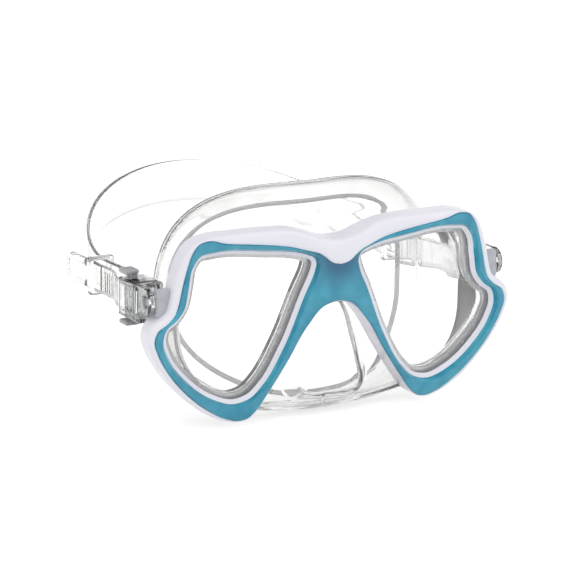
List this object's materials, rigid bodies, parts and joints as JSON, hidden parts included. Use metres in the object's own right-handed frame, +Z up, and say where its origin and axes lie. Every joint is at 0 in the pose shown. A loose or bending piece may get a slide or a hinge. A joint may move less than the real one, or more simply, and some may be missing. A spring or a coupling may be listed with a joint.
{
  "type": "diving mask",
  "caption": "Twin-lens diving mask: clear silicone skirt with nose pocket, white frame, aqua lens retainer, and a clear strap on pivoting push-button buckles.",
  "frame": {"origin": "under the middle of the whole mask, at its lowest point, with the strap held back as worn", "axes": "+X to the wearer's left, +Y from the lenses to the back of the head, +Z up"},
  "size_m": [0.1628, 0.1502, 0.0925],
  "materials": {
    "silicone": "gloss",
    "white_plastic": "gloss",
    "aqua_plastic": "gloss",
    "tempered_glass": "gloss",
    "clear_plastic": "gloss",
    "grey_plastic": "satin",
    "spring_steel": "satin"
  },
  "bodies": {
    "mask": {"main_frame": "white_plastic", "skirt": "silicone", "lens_retainer": "aqua_plastic", "lens_left": "tempered_glass", "lens_right": "tempered_glass", "pivot_pin_left": "clear_plastic", "pivot_pin_right": "clear_plastic"},
    "strap_hoop": {"strap": "silicone", "buckle_body_left": "clear_plastic", "buckle_body_right": "clear_plastic", "upper_spring_left": "spring_steel", "upper_spring_right": "spring_steel", "lower_spring_left": "spring_steel", "lower_spring_right": "spring_steel"},
    "upper_button_left": {"upper_button_left": "grey_plastic"},
    "lower_button_left": {"lower_button_left": "grey_plastic"},
    "strap_roller_left": {"strap_roller_left": "clear_plastic"},
    "strap_keeper_left": {"strap_keeper_left": "clear_plastic"},
    "upper_button_right": {"upper_button_right": "grey_plastic"},
    "lower_button_right": {"lower_button_right": "grey_plastic"},
    "strap_roller_right": {"strap_roller_right": "clear_plastic"},
    "strap_keeper_right": {"strap_keeper_right": "clear_plastic"}
  },
  "joints": [
    {"name": "strap_swing", "type": "hinge", "parent": "mask", "child": "strap_hoop", "pos_m": [0, -0.06015, 0.0543], "axis": [1, 0, 0], "range_deg": [-12, 45]},
    {"name": "upper_press_left", "type": "slide", "parent": "strap_hoop", "child": "upper_button_left", "axis": [0, 0, -1], "range_m": [0, 0.0013], "stiffness_N_per_m": 400, "springref_m": -0.001, "deforming": ["upper_spring_left"]},
    {"name": "lower_press_left", "type": "slide", "parent": "strap_hoop", "child": "lower_button_left", "axis": [0, 0, 1], "range_m": [0, 0.0013], "stiffness_N_per_m": 400, "springref_m": -0.001, "deforming": ["lower_spring_left"]},
    {"name": "roller_spin_left", "type": "hinge", "parent": "strap_hoop", "child": "strap_roller_left", "pos_m": [0.0736, -0.04565, 0.0519], "axis": [0, 0, 1], "continuous": true},
    {"name": "keeper_slide_left", "type": "slide", "parent": "strap_hoop", "child": "strap_keeper_left", "axis": [0, 1, 0], "range_m": [-0.012, 0.003]},
    {"name": "upper_press_right", "type": "slide", "parent": "strap_hoop", "child": "upper_button_right", "axis": [0, 0, -1], "range_m": [0, 0.0013], "stiffness_N_per_m": 400, "springref_m": -0.001, "deforming": ["upper_spring_right"]},
    {"name": "lower_press_right", "type": "slide", "parent": "strap_hoop", "child": "lower_button_right", "axis": [0, 0, 1], "range_m": [0, 0.0013], "stiffness_N_per_m": 400, "springref_m": -0.001, "deforming": ["lower_spring_right"]},
    {"name": "roller_spin_right", "type": "hinge", "parent": "strap_hoop", "child": "strap_roller_right", "pos_m": [-0.0736, -0.04565, 0.0519], "axis": [0, 0, 1], "continuous": true},
    {"name": "keeper_slide_right", "type": "slide", "parent": "strap_hoop", "child": "strap_keeper_right", "axis": [0, 1, 0], "range_m": [-0.012, 0.003]}
  ]
}
